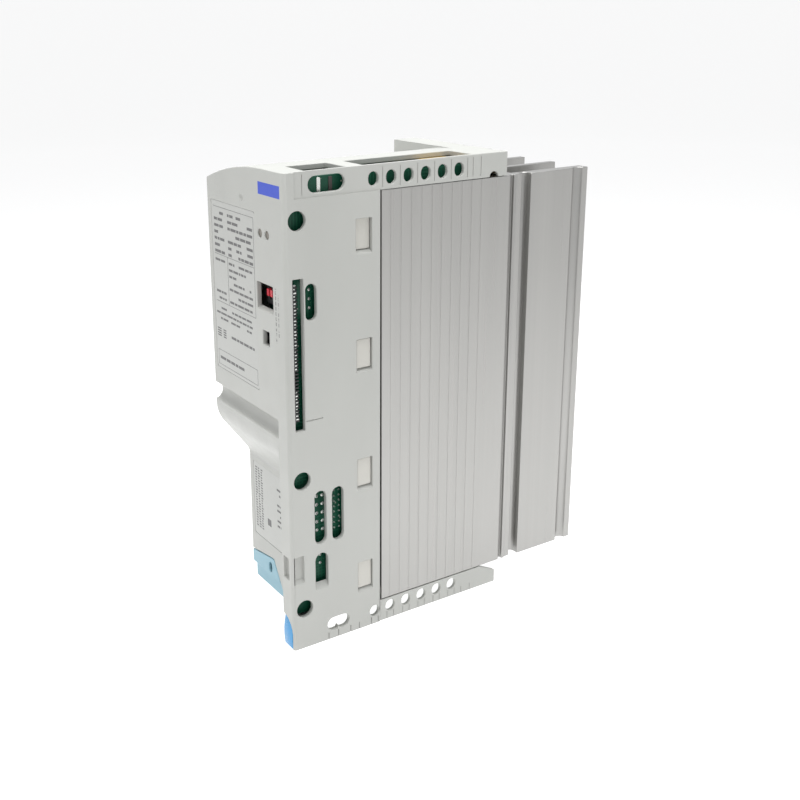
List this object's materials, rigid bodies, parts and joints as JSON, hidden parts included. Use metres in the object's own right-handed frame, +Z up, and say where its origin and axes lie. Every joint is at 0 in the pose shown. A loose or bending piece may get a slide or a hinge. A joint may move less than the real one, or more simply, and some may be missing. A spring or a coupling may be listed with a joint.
{
  "type": "motor drive",
  "caption": "Slim book-style motor drive: moulded hood with terminal openings over a chassis, circuit boards and power parts, with a finned extruded heatsink behind.",
  "frame": {"origin": "middle of the base, on the plane that the bottom skirts stand on", "axes": "+Z up along the height, -Y out of the front face, +X towards the side wall with the openings"},
  "size_m": [0.06, 0.14, 0.182],
  "materials": {
    "housing_plastic": "fine moulded texture, satin light grey",
    "frame_plastic": "satin cream grey",
    "sink_aluminium": "extruded, plain, fine die lines",
    "cover_plastic": "satin pale blue",
    "cap_plastic": "gloss blue",
    "label_film": "satin printed film",
    "board_green": "solder-resist green",
    "solder_tin": "bright solder",
    "contact_black": "black moulded connector",
    "switch_black": "black",
    "slider_red": "red",
    "lamp_clear": "smoky clear light pipe",
    "terminal_green": "dark green",
    "screw_steel": "zinc plated",
    "film_cap_yellow": "yellow moulded case",
    "module_black": "black epoxy",
    "pad_grey": "soft grey",
    "sleeve_blue": "shrink sleeve, dark blue",
    "copper_wire": "enamelled copper",
    "core_dark": "taped core",
    "relay_case": "dark moulded case"
  },
  "bodies": {
    "drive": {"hood": "housing_plastic", "chassis": "frame_plastic", "chassis_screws": "screw_steel", "heatsink": "sink_aluminium", "corner_cap": "cap_plastic", "rating_plate": "label_film", "lower_plate": "label_film", "main_board": "board_green", "solder_joints": "solder_tin", "edge_connector": "contact_black", "indicator_board": "board_green", "switch_body": "switch_black", "service_socket": "contact_black", "status_lamps": "lamp_clear", "supply_terminals": "terminal_green", "relay_terminals": "terminal_green", "motor_terminals": "terminal_green", "control_terminals": "terminal_green", "filter_capacitor": "film_cap_yellow", "power_board": "board_green", "power_module": "module_black", "module_screws": "screw_steel", "thermal_pad": "pad_grey", "board_header": "contact_black", "capacitor_1": "sleeve_blue", "capacitor_2": "sleeve_blue", "capacitor_3": "sleeve_blue", "capacitor_4": "sleeve_blue", "choke": "copper_wire", "transformer": "core_dark", "relay": "relay_case"},
    "terminal_cover": {"terminal_cover": "cover_plastic"},
    "switch_slider_1": {"switch_slider_1": "slider_red"},
    "switch_slider_2": {"switch_slider_2": "slider_red"},
    "switch_slider_3": {"switch_slider_3": "slider_red"},
    "supply_screw_1": {"supply_screw_1": "screw_steel"},
    "supply_screw_2": {"supply_screw_2": "screw_steel"},
    "supply_screw_3": {"supply_screw_3": "screw_steel"},
    "supply_screw_4": {"supply_screw_4": "screw_steel"},
    "relay_screw_1": {"relay_screw_1": "screw_steel"},
    "relay_screw_2": {"relay_screw_2": "screw_steel"},
    "motor_screw_1": {"motor_screw_1": "screw_steel"},
    "motor_screw_2": {"motor_screw_2": "screw_steel"},
    "motor_screw_3": {"motor_screw_3": "screw_steel"},
    "motor_screw_4": {"motor_screw_4": "screw_steel"},
    "motor_screw_5": {"motor_screw_5": "screw_steel"},
    "motor_screw_6": {"motor_screw_6": "screw_steel"}
  },
  "joints": [
    {"name": "cover_pull", "type": "slide", "parent": "drive", "child": "terminal_cover", "axis": [0, -1, 0], "range_m": [0, 0.014]},
    {"name": "switch_1", "type": "slide", "parent": "drive", "child": "switch_slider_1", "axis": [0, 0, 1], "range_m": [-0.0012, 0]},
    {"name": "switch_2", "type": "slide", "parent": "drive", "child": "switch_slider_2", "axis": [0, 0, 1], "range_m": [-0.0012, 0]},
    {"name": "switch_3", "type": "slide", "parent": "drive", "child": "switch_slider_3", "axis": [0, 0, 1], "range_m": [-0.0012, 0]},
    {"name": "supply_screw_1_turn", "type": "hinge", "parent": "drive", "child": "supply_screw_1", "pos_m": [0.0209, -0.0331, 0.1721], "axis": [0, 0, 1], "range_deg": [0, 1710]},
    {"name": "supply_screw_2_turn", "type": "hinge", "parent": "drive", "child": "supply_screw_2", "pos_m": [0.0209, -0.02548, 0.1721], "axis": [0, 0, 1], "range_deg": [0, 1710]},
    {"name": "supply_screw_3_turn", "type": "hinge", "parent": "drive", "child": "supply_screw_3", "pos_m": [0.0209, -0.01786, 0.1721], "axis": [0, 0, 1], "range_deg": [0, 1710]},
    {"name": "supply_screw_4_turn", "type": "hinge", "parent": "drive", "child": "supply_screw_4", "pos_m": [0.0209, -0.01024, 0.1721], "axis": [0, 0, 1], "range_deg": [0, 1710]},
    {"name": "relay_screw_1_turn", "type": "hinge", "parent": "drive", "child": "relay_screw_1", "pos_m": [0.0209, -0.0563, 0.1721], "axis": [0, 0, 1], "range_deg": [0, 1710]},
    {"name": "relay_screw_2_turn", "type": "hinge", "parent": "drive", "child": "relay_screw_2", "pos_m": [0.0209, -0.04868, 0.1721], "axis": [0, 0, 1], "range_deg": [0, 1710]},
    {"name": "motor_screw_1_turn", "type": "hinge", "parent": "drive", "child": "motor_screw_1", "pos_m": [0.0209, -0.0331, 0.0126], "axis": [0, 0, -1], "range_deg": [0, 1710]},
    {"name": "motor_screw_2_turn", "type": "hinge", "parent": "drive", "child": "motor_screw_2", "pos_m": [0.0209, -0.02548, 0.0126], "axis": [0, 0, -1], "range_deg": [0, 1710]},
    {"name": "motor_screw_3_turn", "type": "hinge", "parent": "drive", "child": "motor_screw_3", "pos_m": [0.0209, -0.01786, 0.0126], "axis": [0, 0, -1], "range_deg": [0, 1710]},
    {"name": "motor_screw_4_turn", "type": "hinge", "parent": "drive", "child": "motor_screw_4", "pos_m": [0.0209, -0.01024, 0.0126], "axis": [0, 0, -1], "range_deg": [0, 1710]},
    {"name": "motor_screw_5_turn", "type": "hinge", "parent": "drive", "child": "motor_screw_5", "pos_m": [0.0209, -0.00262, 0.0126], "axis": [0, 0, -1], "range_deg": [0, 1710]},
    {"name": "motor_screw_6_turn", "type": "hinge", "parent": "drive", "child": "motor_screw_6", "pos_m": [0.0209, 0.005, 0.0126], "axis": [0, 0, -1], "range_deg": [0, 1710]}
  ]
}
